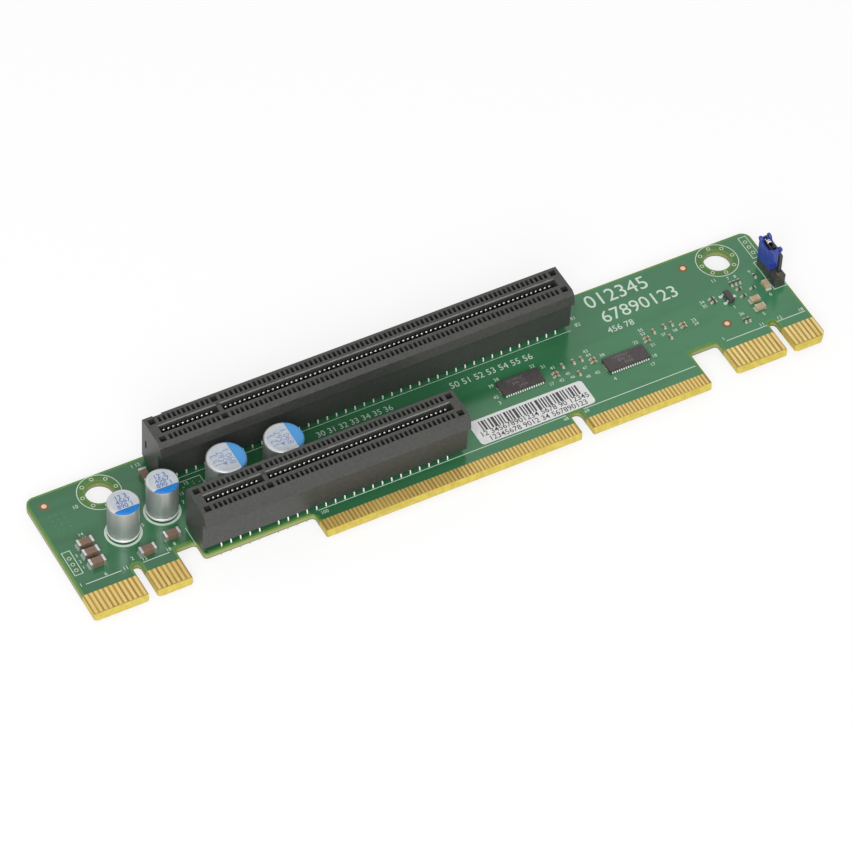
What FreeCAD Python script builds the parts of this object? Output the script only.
import FreeCAD, Part
import math
import os

# Riser card: a flat circuit board with two edge card sockets standing on it and three
# groups of gold fingers on its front edge. All sizes are in millimetres.
# The layout is measured from the middle of the long socket on the board's top face:
# +X runs along the board, +Y to its plain rear edge and +Z up.

# Board
board_thickness = 1.57
board_left = -69.09
board_right = 89.07
board_rear = 4.23
rear_corner_radius = 1.9
outer_nose = -27.10
centre_nose = -28.21
notch_top = -18.75
key_notch_width = 1.90
left_key_x = -57.00
left_group_right = -48.90
short_socket_edge_left = -44.40
short_socket_edge_front = -22.60
centre_group_left = -21.46
centre_key_left = 33.70
centre_key_width = 2.45
centre_key_top = -22.20
centre_group_right = 62.45
right_group_left = 68.90
right_key_x = 81.05
inner_corner_radius = 0.80
nose_corner_cut = 0.50
centre_chamfer_x = 0.40
centre_chamfer_y = 0.65
right_chamfer_x = 1.47
right_chamfer_y = 1.50
bevel_length = 0.65
bevel_depth = 0.35

# Mounting holes
mounting_hole_radius = 2.75
mounting_hole_spacing = 135.20
mounting_hole_middle_x = 12.24
mounting_hole_y = -0.15

# Gold fingers, the same on both faces
finger_thickness = 0.05
outer_finger_top = -21.45
outer_finger_end = -26.30
centre_finger_top = -24.85
centre_finger_end = -27.50
outer_finger_pitch = 1.00
outer_finger_width = 0.70
centre_finger_pitch = 0.80
centre_finger_width = 0.55
first_finger_count = 11
second_finger_count = 7
left_first_x = -68.50
left_second_x = -55.48
right_first_x = 69.60
right_second_x = 82.60
centre_first_x = -20.68
centre_first_count = 68
centre_second_x = 36.92
centre_second_count = 32

# Sockets
socket_height = 11.30
socket_gap = 1.20
socket_rear = 3.75
socket_front = 3.20
socket_top_front = 3.15
band_top_reach = 4.00
band_top_drop = 0.70
band_bottom_reach = 4.40
band_bottom_drop = 3.10
long_socket_length = 89.00
short_socket_length = 56.00
short_socket_x = -16.70
short_socket_y = -19.04
contact_pitch = 1.00
contact_free_length = 7.00
first_contact = 3.00
contacts_before_key = 11
key_gap = 2.00
slot_end = 1.90
key_left = 14.10
key_right = 15.00
mouth_half_top = 1.05
mouth_half = 0.85
mouth_lead_in = 0.40
lip_height = 1.00
upper_channel_half = 1.50
upper_channel_height = 1.00
channel_half = 2.55
channel_half_bottom = 2.98
channel_taper_top = 4.00
slot_floor = 2.90
floor_beam_half = 0.85
pocket_inner = 1.70
pocket_outer = 3.00
pocket_width = 0.58
pocket_depth = 1.50
square_left = 0.75
square_width = 1.30
square_key_left = 13.75
square_right = 0.70
end_foot = 1.40
end_foot_inset = 0.40
foot_setback = 1.00
peg_radius = 1.15
peg_clearance = 0.05
peg_sides = 8
peg_end_x = 1.60
peg_below_board = 1.20
end_slit_y = 2.10
end_slit_width = 0.60
end_slit_depth = 0.50
end_slit_bottom = 4.80
end_slit_height = 2.00
rear_notch_left = 2.10
rear_notch_width = 1.90
rear_notch_size = 0.45

# Contacts
contact_width = 0.50
contact_thickness = 0.22
contact_tip_drop = 1.40
contact_tip_y = 1.12
outer_tail_y = 3.00
inner_tail_y = 1.25
joint_radius = 0.56
can_joint_radius = 0.90
joint_height = 1.05
joint_sides = 3

# Can capacitors: place of each base, radius and height
can_places = [(-55.60, -11.00), (-46.80, -9.55), (-33.60, -9.80), (-21.70, -10.20)]
can_radii = [3.15, 3.15, 3.95, 3.95]
can_heights = [8.90, 8.90, 9.00, 9.00]
small_lead_spacing = 2.50
large_lead_spacing = 3.50

# Ceramic capacitors: length, width and height, and the length of a metal end. Three of
# them stand by the left end of a socket, each so far from it.
brown_size = (3.20, 1.60, 1.45)
brown_end = 0.50
tan_size = (2.00, 1.25, 0.95)
tan_end = 0.40
brown_places = [(-63.35, -10.70), (-63.40, -13.25), (-63.40, -15.85)]
brown_places_by_short_socket = [(9.00, -17.40), (3.30, -16.00)]
brown_place_by_long_socket = (1.60, -0.90)
tan_places_along_x = [(81.00, -12.70), (80.90, -14.90)]
tan_places_along_y = [(85.00, -10.30)]

# Smallest capacitors and resistors: length, width and height
tiny_size = (1.00, 0.50, 0.40)
tiny_capacitors_along_x = [(36.40, -12.05), (36.30, -12.95), (44.70, -12.00), (44.60, -12.90),
                           (56.90, -11.90), (56.70, -12.75), (65.10, -11.80), (65.00, -12.60)]
tiny_capacitors_along_y = [(38.60, -11.00), (41.00, -11.00), (42.75, -11.05), (40.60, -14.10),
                           (59.00, -11.00), (61.50, -10.80), (63.15, -10.80), (61.30, -13.70)]
tiny_resistors_along_x = [(73.60, -8.60), (73.60, -9.60), (79.80, -8.70), (82.40, -9.70),
                          (79.70, -10.70)]
tiny_resistors_along_y = [(79.00, -6.90), (79.90, -6.90), (80.80, -6.90), (84.30, -7.00),
                          (76.50, -16.50), (77.40, -16.50)]

# Flat chips
chip_size = (9.00, 3.50, 0.75)
chip_places = [(29.10, -11.40), (50.45, -15.10)]

# Transistor: body standing just off the board on three bent leads
transistor_place = (76.70, -9.90)
transistor_size = (1.30, 2.90, 0.95)
transistor_lift = 0.10
transistor_lead_width = 0.42
transistor_lead_thickness = 0.14
transistor_lead_reach = 0.60
transistor_lead_height = 0.55
transistor_lead_offset = 0.95

# Pin header and its jumper
header_place = (87.62, -7.75)
pin_pitch = 2.54
pin_count = 3
header_base_height = 2.20
header_corner = 0.50
pin_width = 0.64
pin_top = 8.00
jumper_height = 5.40
jumper_size_x = 2.50
jumper_size_y = 4.50
jumper_cavity_x = 1.30
jumper_cavity_y = 3.80
jumper_dip_length = 2.80
jumper_dip_depth = 1.10
ear_reach = 0.35
ear_height = 0.80
clip_thickness = 0.20
clip_end_gap = 0.05
clip_bottom_gap = 0.20
clip_top_drop = 0.40

# Label, stuck on beside the right end of the short socket
label_gap = 3.65
label_length = 25.05
label_rear = -15.80
label_front = -22.00
label_corner_cut = 0.50
label_thickness = 0.10

# How far a cutting shape reaches past what it cuts
cut_overhang = 1.00

# The part's own frame: middle of the outline, and the height of what it rests on
shift_x = -(board_left + board_right) / 2
shift_y = -(board_rear + centre_nose) / 2
shift_z = board_thickness + peg_below_board

# Where the ends of the sockets stand
long_socket_left = -long_socket_length / 2
short_socket_left = short_socket_x - short_socket_length / 2
short_socket_right = short_socket_left + short_socket_length


def rounded_face(corners):
    """A flat face through (x, y, radius) corners, each one rounded by its radius."""
    entries = []
    middles = []
    exits = []
    total = len(corners)
    for i in range(total):
        x, y, radius = corners[i]
        here = FreeCAD.Vector(x, y, 0)
        before = FreeCAD.Vector(corners[i - 1][0], corners[i - 1][1], 0) - here
        after = FreeCAD.Vector(corners[(i + 1) % total][0], corners[(i + 1) % total][1], 0) - here
        before.normalize()
        after.normalize()
        half_angle = before.getAngle(after) / 2
        inward = before + after
        inward.normalize()
        setback = radius / math.tan(half_angle)
        entries.append(here + before * setback)
        exits.append(here + after * setback)
        middles.append(here + inward * (radius / math.sin(half_angle) - radius))
    edges = []
    for i in range(total):
        if corners[i][2] > 0:
            edges.append(Part.Arc(entries[i], middles[i], exits[i]).toShape())
        start = exits[i]
        end = entries[(i + 1) % total]
        if start.distanceToPoint(end) > 0.001:
            edges.append(Part.makeLine(start, end))
    return Part.Face(Part.Wire(edges))


def box(x0, x1, y0, y1, z0, z1):
    corner = FreeCAD.Vector(x0, y0, z0)
    return Part.makeBox(x1 - x0, y1 - y0, z1 - z0, corner)


def block_at(place, size, base=0.0):
    """A block of (length, width, height) standing on the board with its middle at place."""
    x, y = place
    length, width, height = size
    return box(x - length / 2, x + length / 2, y - width / 2, y + width / 2, base, base + height)


def turned(size):
    return (size[1], size[0], size[2])


def profile_along_x(points, x0, x1):
    """A (y, z) outline drawn out along the board from x0 to x1."""
    corners = [FreeCAD.Vector(x0, y, z) for y, z in points]
    face = Part.Face(Part.makePolygon(corners + corners[:1]))
    return face.extrude(FreeCAD.Vector(x1 - x0, 0, 0))


def ring_of_points(x, y, z, radius, sides):
    """Corners of an even-sided outline round (x, y), with a flat side towards each axis."""
    points = []
    for i in range(sides):
        angle = 2 * math.pi * (i + 0.5) / sides
        points.append(FreeCAD.Vector(x + radius * math.cos(angle), y + radius * math.sin(angle), z))
    return points


def upright_prism(x, y, z0, z1, radius, sides):
    points = ring_of_points(x, y, z0, radius, sides)
    face = Part.Face(Part.makePolygon(points + points[:1]))
    return face.extrude(FreeCAD.Vector(0, 0, z1 - z0))


def solder_joint(x, y, radius, height):
    """A solder cone on the board's underside, with three sides to keep its faces few."""
    base = ring_of_points(x, y, -board_thickness, radius, joint_sides)
    tip = FreeCAD.Vector(x, y, -board_thickness - height)
    faces = [Part.Face(Part.makePolygon(base + base[:1]))]
    for i in range(joint_sides):
        after = base[(i + 1) % joint_sides]
        faces.append(Part.Face(Part.makePolygon([base[i], after, tip, base[i]])))
    return Part.Solid(Part.Shell(faces))


def keep(name, solids):
    """Moves the solids into the part's frame and writes them as one named piece."""
    piece = Part.makeCompound(solids)
    piece.translate(FreeCAD.Vector(shift_x, shift_y, shift_z))
    piece.exportStep("parts/" + name + ".step")


def cut_corner(x, y, side):
    """A nose corner cut off at 45 degrees: side is -1 at a left corner and 1 at a right one."""
    inner = (x - side * nose_corner_cut, y, 0)
    outer = (x, y + nose_corner_cut, 0)
    if side < 0:
        return [outer, inner]
    return [inner, outer]


def key_notch(middle_x, width, top, nose):
    """A round-topped key notch, from the corner on its left to the one on its right."""
    left = middle_x - width / 2
    right = middle_x + width / 2
    radius = width / 2
    round_top = [(left, top, radius), (right, top, radius)]
    return cut_corner(left, nose, 1) + round_top + cut_corner(right, nose, -1)


def socket_pegs(socket_x, length):
    """Where the two locating pegs of a socket stand along the board."""
    left = socket_x - length / 2
    return [left + (key_left + key_right) / 2, left + length - peg_end_x]


def board_outline():
    centre_key_right = centre_key_left + centre_key_width
    key_radius = centre_key_width / 2
    corners = [(board_left, board_rear, rear_corner_radius)]
    corners += cut_corner(board_left, outer_nose, -1)
    corners += key_notch(left_key_x, key_notch_width, notch_top, outer_nose)
    corners += cut_corner(left_group_right, outer_nose, 1)
    corners += [(left_group_right, notch_top, 0),
                (short_socket_edge_left, notch_top, inner_corner_radius),
                (short_socket_edge_left, short_socket_edge_front, inner_corner_radius),
                (centre_group_left, short_socket_edge_front, inner_corner_radius),
                (centre_group_left, centre_nose, 0)]
    corners += [(centre_key_left - centre_chamfer_x, centre_nose, 0),
                (centre_key_left, centre_nose + centre_chamfer_y, 0),
                (centre_key_left, centre_key_top, key_radius),
                (centre_key_right, centre_key_top, key_radius), (centre_key_right, centre_nose, 0)]
    corners += [(centre_group_right - centre_chamfer_x, centre_nose, 0),
                (centre_group_right, centre_nose + centre_chamfer_y, 0),
                (centre_group_right, notch_top, 0), (right_group_left, notch_top, inner_corner_radius)]
    corners += cut_corner(right_group_left, outer_nose, -1)
    corners += key_notch(right_key_x, key_notch_width, notch_top, outer_nose)
    corners += [(board_right - right_chamfer_x, outer_nose, 0),
                (board_right, outer_nose + right_chamfer_y, 0),
                (board_right, board_rear, rear_corner_radius)]
    return rounded_face(corners)


def nose_bevels(x0, x1, nose):
    """The two wedges that thin a group's nose, one from each face."""
    start = nose + bevel_length
    past = nose - cut_overhang
    slope = bevel_depth / bevel_length
    deep = bevel_depth + slope * cut_overhang
    under = -board_thickness
    top = profile_along_x([(start, 0), (past, 0), (past, -deep)], x0, x1)
    bottom = profile_along_x([(start, under), (past, under), (past, under + deep)], x0, x1)
    return [top, bottom]


def circuit_board():
    down = FreeCAD.Vector(0, 0, -board_thickness)
    board = board_outline().extrude(down)
    holes = []
    for side in (-1, 1):
        x = mounting_hole_middle_x + side * mounting_hole_spacing / 2
        place = FreeCAD.Vector(x, mounting_hole_y, 0)
        holes.append(Part.makeCylinder(mounting_hole_radius, board_thickness, place, down))
    pegs = [(x, 0) for x in socket_pegs(0, long_socket_length)]
    pegs += [(x, short_socket_y) for x in socket_pegs(short_socket_x, short_socket_length)]
    for x, y in pegs:
        holes.append(upright_prism(x, y, -board_thickness, 0, peg_radius + peg_clearance, peg_sides))
    bevels = nose_bevels(board_left - cut_overhang, short_socket_edge_left, outer_nose)
    bevels += nose_bevels(centre_group_left - cut_overhang, centre_group_right + cut_overhang, centre_nose)
    bevels += nose_bevels(right_group_left - cut_overhang, board_right + cut_overhang, outer_nose)
    return board.cut(holes + bevels)


def finger_row(first_x, count, pitch, width, top, end):
    """One run of fingers on the top face and the same run on the underside."""
    fingers = []
    for i in range(count):
        x0 = first_x + i * pitch - width / 2
        x1 = x0 + width
        fingers.append(box(x0, x1, end, top, 0, finger_thickness))
        fingers.append(box(x0, x1, end, top, -board_thickness - finger_thickness, -board_thickness))
    return fingers


def outer_fingers(first_x, second_x):
    fingers = []
    for x, count in ((first_x, first_finger_count), (second_x, second_finger_count)):
        fingers += finger_row(x, count, outer_finger_pitch, outer_finger_width,
                              outer_finger_top, outer_finger_end)
    return fingers


def trimmed_to_board(fingers):
    """Cuts the fingers back where the board's corner is cut off."""
    outline = board_outline()
    outline.translate(FreeCAD.Vector(0, 0, -board_thickness - cut_overhang))
    prism = outline.extrude(FreeCAD.Vector(0, 0, board_thickness + 2 * cut_overhang))
    return [finger.common(prism).Solids[0] for finger in fingers]


def contact_places(length):
    """How far each contact stands from the left end of a socket of this length."""
    count = round((length - contact_free_length) / contact_pitch)
    places = []
    for i in range(count):
        place = first_contact + i * contact_pitch
        if i >= contacts_before_key:
            place += key_gap
        places.append(place)
    return places


def socket_slot(x0, x1):
    """The card slot between two walls, with the contact channels on both sides of it."""
    above = socket_height + cut_overhang
    below = socket_gap - cut_overhang
    lead_in = socket_height - mouth_lead_in
    lip_underside = socket_height - lip_height
    channel_step = lip_underside - upper_channel_height
    right = [(mouth_half_top, above), (mouth_half_top, socket_height), (mouth_half, lead_in),
             (mouth_half, lip_underside), (upper_channel_half, lip_underside),
             (upper_channel_half, channel_step), (channel_half, channel_step),
             (channel_half, channel_taper_top), (channel_half_bottom, socket_gap),
             (channel_half_bottom, below), (floor_beam_half, below), (floor_beam_half, slot_floor)]
    left = [(-y, z) for y, z in reversed(right)]
    return profile_along_x(right + left, x0, x1)


def socket_housing(length):
    """A socket moulding with its left end at x = 0 and its slot along y = 0."""
    band_bottom = socket_height - band_bottom_drop
    outline = [(socket_rear, socket_gap), (socket_rear, socket_height),
               (-socket_top_front, socket_height), (-band_top_reach, socket_height - band_top_drop),
               (-band_bottom_reach, band_bottom), (-socket_front, band_bottom),
               (-socket_front, socket_gap)]
    body = profile_along_x(outline, 0, length)
    right_foot = length - end_foot_inset
    feet = []
    for x0, x1 in ((end_foot_inset, end_foot_inset + end_foot), (key_left, key_right),
                   (right_foot - end_foot, right_foot)):
        feet.append(box(x0, x1, foot_setback - socket_front, socket_rear, 0, socket_gap))
    peg_bottom = -board_thickness - peg_below_board
    for x in socket_pegs(length / 2, length):
        feet.append(upright_prism(x, 0, peg_bottom, socket_gap, peg_radius, peg_sides))
    body = body.fuse(feet)
    cuts = [socket_slot(slot_end, key_left), socket_slot(key_right, length - slot_end)]
    pocket_bottom = socket_height - pocket_depth
    columns = [(x - pocket_width / 2, x + pocket_width / 2) for x in contact_places(length)]
    columns.append((square_left, square_left + square_width))
    columns.append((square_key_left, square_key_left + square_width))
    columns.append((length - square_right - square_width, length - square_right))
    for x0, x1 in columns:
        cuts.append(box(x0, x1, pocket_inner, pocket_outer, pocket_bottom, socket_height))
        cuts.append(box(x0, x1, -pocket_outer, -pocket_inner, pocket_bottom, socket_height))
    return body.cut(cuts).removeSplitter()


def long_socket_housing():
    housing = socket_housing(long_socket_length)
    slit = box(0, end_slit_depth, end_slit_y - end_slit_width / 2, end_slit_y + end_slit_width / 2,
               end_slit_bottom, end_slit_bottom + end_slit_height)
    notch = box(rear_notch_left, rear_notch_left + rear_notch_width,
                socket_rear - rear_notch_size, socket_rear,
                socket_height - rear_notch_size, socket_height)
    housing = housing.cut([slit, notch])
    housing.translate(FreeCAD.Vector(long_socket_left, 0, 0))
    return housing


def short_socket_housing():
    housing = socket_housing(short_socket_length)
    housing.translate(FreeCAD.Vector(short_socket_left, short_socket_y, 0))
    return housing


def tail_y(number):
    """Even contacts leave the socket in the outer row and odd ones in the inner row."""
    if number % 2 == 0:
        return outer_tail_y
    return inner_tail_y


def contact_row(left, socket_y, length, side):
    """The leaning contact blades on one side of a slot: side is 1 at the rear, -1 in front."""
    half = contact_thickness / 2
    top = socket_height - contact_tip_drop
    blades = []
    for i, place in enumerate(contact_places(length)):
        foot = tail_y(i + 1)
        outline = [(foot - half, 0), (foot + half, 0),
                   (contact_tip_y + half, top), (contact_tip_y - half, top)]
        outline = [(socket_y + side * y, z) for y, z in outline]
        x0 = left + place - contact_width / 2
        blades.append(profile_along_x(outline, x0, x0 + contact_width))
    return blades


def socket_joints(left, socket_y, length):
    joints = []
    for i, place in enumerate(contact_places(length)):
        for side in (-1, 1):
            y = socket_y + side * tail_y(i + 1)
            joints.append(solder_joint(left + place, y, joint_radius, joint_height))
    return joints


def can(number):
    """A drawn capacitor can, sealed and standing on the board."""
    x, y = can_places[number]
    return Part.makeCylinder(can_radii[number], can_heights[number], FreeCAD.Vector(x, y, 0))


def can_joints():
    joints = []
    for place, radius in zip(can_places, can_radii):
        spacing = small_lead_spacing
        if radius > can_radii[0]:
            spacing = large_lead_spacing
        for side in (-1, 1):
            x = place[0] + side * spacing / 2
            joints.append(solder_joint(x, place[1], can_joint_radius, joint_height))
    return joints


def ceramic_body(place, size, end):
    """The ceramic between the metal ends of a capacitor that lies along x."""
    return block_at(place, (size[0] - 2 * end, size[1], size[2]))


def ceramic_ends(place, size, end):
    x, y = place
    reach = (size[0] - end) / 2
    return [block_at((x - reach, y), (end, size[1], size[2])),
            block_at((x + reach, y), (end, size[1], size[2]))]


def quarter_turn(solids, place):
    """Turns solids a quarter turn about the upright line through place."""
    centre = FreeCAD.Vector(place[0], place[1], 0)
    for solid in solids:
        solid.rotate(centre, FreeCAD.Vector(0, 0, 1), 90)
    return solids


def ceramic_capacitors(along_x, along_y, size, end):
    bodies = []
    ends = []
    for place in along_x:
        bodies.append(ceramic_body(place, size, end))
        ends += ceramic_ends(place, size, end)
    for place in along_y:
        bodies += quarter_turn([ceramic_body(place, size, end)], place)
        ends += quarter_turn(ceramic_ends(place, size, end), place)
    return bodies, ends


def transistor_leads():
    """Bent leads: two on the left side and one on the right, from the body to the board."""
    x, y = transistor_place
    half_body = transistor_size[0] / 2
    thick = transistor_lead_thickness
    high = transistor_lead_height
    outline = [(half_body, high - thick), (half_body, high), (half_body + thick, high),
               (half_body + thick, thick), (half_body + transistor_lead_reach, thick),
               (half_body + transistor_lead_reach, 0), (half_body, 0)]
    leads = []
    for side, offset in ((-1, -transistor_lead_offset), (-1, transistor_lead_offset), (1, 0)):
        y0 = y + offset - transistor_lead_width / 2
        corners = [FreeCAD.Vector(x + side * reach, y0, z) for reach, z in outline]
        face = Part.Face(Part.makePolygon(corners + corners[:1]))
        leads.append(face.extrude(FreeCAD.Vector(0, transistor_lead_width, 0)))
    return leads


def pin_places():
    x, y = header_place
    middle = (pin_count - 1) / 2
    return [(x, y + (middle - i) * pin_pitch) for i in range(pin_count)]


def header_pins():
    return [block_at(place, (pin_width, pin_width, pin_top)) for place in pin_places()]


def header_base():
    """Three square cells with cut corners, in one strip with a hole for each pin."""
    x, y = header_place
    half = pin_pitch / 2
    rear = y + pin_count * half
    right_side = []
    for i in range(pin_count):
        cell_rear = rear - i * pin_pitch
        right_side += [(x + half - header_corner, cell_rear), (x + half, cell_rear - header_corner),
                       (x + half, cell_rear - pin_pitch + header_corner)]
    right_side.append((x + half - header_corner, rear - pin_count * pin_pitch))
    left_side = [(2 * x - px, py) for px, py in reversed(right_side)]
    corners = [FreeCAD.Vector(px, py, 0) for px, py in right_side + left_side]
    face = Part.Face(Part.makePolygon(corners + corners[:1]))
    base = face.extrude(FreeCAD.Vector(0, 0, header_base_height))
    return base.cut(header_pins())


def jumper_middle():
    """The jumper sits on the two rear pins."""
    first, second = pin_places()[:2]
    return (first[0], (first[1] + second[1]) / 2)


def jumper_cap():
    """A moulded sleeve, open at both ends, dipped between the grip ears at its two short sides."""
    x, y = jumper_middle()
    bottom = header_base_height
    top = bottom + jumper_height
    sleeve = block_at((x, y), (jumper_size_x, jumper_size_y, jumper_height), bottom)
    ears = block_at((x, y), (jumper_size_x, jumper_size_y + 2 * ear_reach, ear_height), top - ear_height)
    cavity = block_at((x, y), (jumper_cavity_x, jumper_cavity_y, jumper_height), bottom)
    dip = block_at((x, y), (jumper_size_x, jumper_dip_length, jumper_dip_depth), top - jumper_dip_depth)
    return sleeve.fuse(ears).cut([cavity, dip]).removeSplitter()


def jumper_clip():
    """A folded strip, U-shaped from above, that grips the two pins from both sides."""
    x, y = jumper_middle()
    inner = pin_width / 2
    outer = inner + clip_thickness
    rear = y + jumper_cavity_y / 2 - clip_end_gap
    front = y - jumper_cavity_y / 2 + clip_end_gap
    corners = [(x - outer, front), (x - outer, rear), (x + outer, rear), (x + outer, front),
               (x + inner, front), (x + inner, rear - clip_thickness),
               (x - inner, rear - clip_thickness), (x - inner, front)]
    bottom = header_base_height + clip_bottom_gap
    top = header_base_height + jumper_height - clip_top_drop
    points = [FreeCAD.Vector(px, py, bottom) for px, py in corners]
    face = Part.Face(Part.makePolygon(points + points[:1]))
    return face.extrude(FreeCAD.Vector(0, 0, top - bottom))


def label():
    """A paper label with its corners cut off."""
    left = short_socket_right + label_gap
    sheet = box(left, left + label_length, label_front, label_rear, 0, label_thickness)
    upright = [edge for edge in sheet.Edges if edge.Length < 2 * label_thickness]
    return sheet.makeChamfer(label_corner_cut, upright)


os.makedirs("parts", exist_ok=True)

keep("circuit_board", [circuit_board()])
keep("edge_fingers_left", outer_fingers(left_first_x, left_second_x))
keep("edge_fingers_right", trimmed_to_board(outer_fingers(right_first_x, right_second_x)))
centre_fingers = finger_row(centre_first_x, centre_first_count, centre_finger_pitch,
                            centre_finger_width, centre_finger_top, centre_finger_end)
centre_fingers += finger_row(centre_second_x, centre_second_count, centre_finger_pitch,
                             centre_finger_width, centre_finger_top, centre_finger_end)
keep("edge_fingers_centre", centre_fingers)

keep("long_socket_housing", [long_socket_housing()])
long_socket = (long_socket_left, 0, long_socket_length)
keep("long_socket_contacts_rear", contact_row(*long_socket, 1))
keep("long_socket_contacts_front", contact_row(*long_socket, -1))
keep("long_socket_solder_joints", socket_joints(*long_socket))

keep("short_socket_housing", [short_socket_housing()])
short_socket = (short_socket_left, short_socket_y, short_socket_length)
keep("short_socket_contacts_rear", contact_row(*short_socket, 1))
keep("short_socket_contacts_front", contact_row(*short_socket, -1))
keep("short_socket_solder_joints", socket_joints(*short_socket))

for number in range(len(can_places)):
    keep("can_capacitor_" + str(number + 1), [can(number)])
keep("can_capacitor_joints", can_joints())

brown_along_x = brown_places + [(short_socket_left - gap, y) for gap, y in brown_places_by_short_socket]
brown_along_y = [(long_socket_left - brown_place_by_long_socket[0], brown_place_by_long_socket[1])]
brown_bodies, brown_ends = ceramic_capacitors(brown_along_x, brown_along_y, brown_size, brown_end)
keep("brown_capacitor_bodies", brown_bodies)
keep("brown_capacitor_ends", brown_ends)
tan_bodies, tan_ends = ceramic_capacitors(tan_places_along_x, tan_places_along_y,
                                          tan_size, tan_end)
keep("tan_capacitor_bodies", tan_bodies)
keep("tan_capacitor_ends", tan_ends)

tiny_capacitors = [block_at(place, tiny_size) for place in tiny_capacitors_along_x]
tiny_capacitors += [block_at(place, turned(tiny_size)) for place in tiny_capacitors_along_y]
keep("tiny_capacitors", tiny_capacitors)
tiny_resistors = [block_at(place, tiny_size) for place in tiny_resistors_along_x]
tiny_resistors += [block_at(place, turned(tiny_size)) for place in tiny_resistors_along_y]
keep("tiny_resistors", tiny_resistors)

for number, place in enumerate(chip_places):
    keep("signal_chip_" + str(number + 1), [block_at(place, chip_size)])
keep("transistor_body", [block_at(transistor_place, transistor_size, transistor_lift)])
keep("transistor_leads", transistor_leads())

keep("header_base", [header_base()])
keep("header_pins", header_pins())
keep("jumper_cap", [jumper_cap()])
keep("jumper_clip", [jumper_clip()])
keep("label_sticker", [label()])
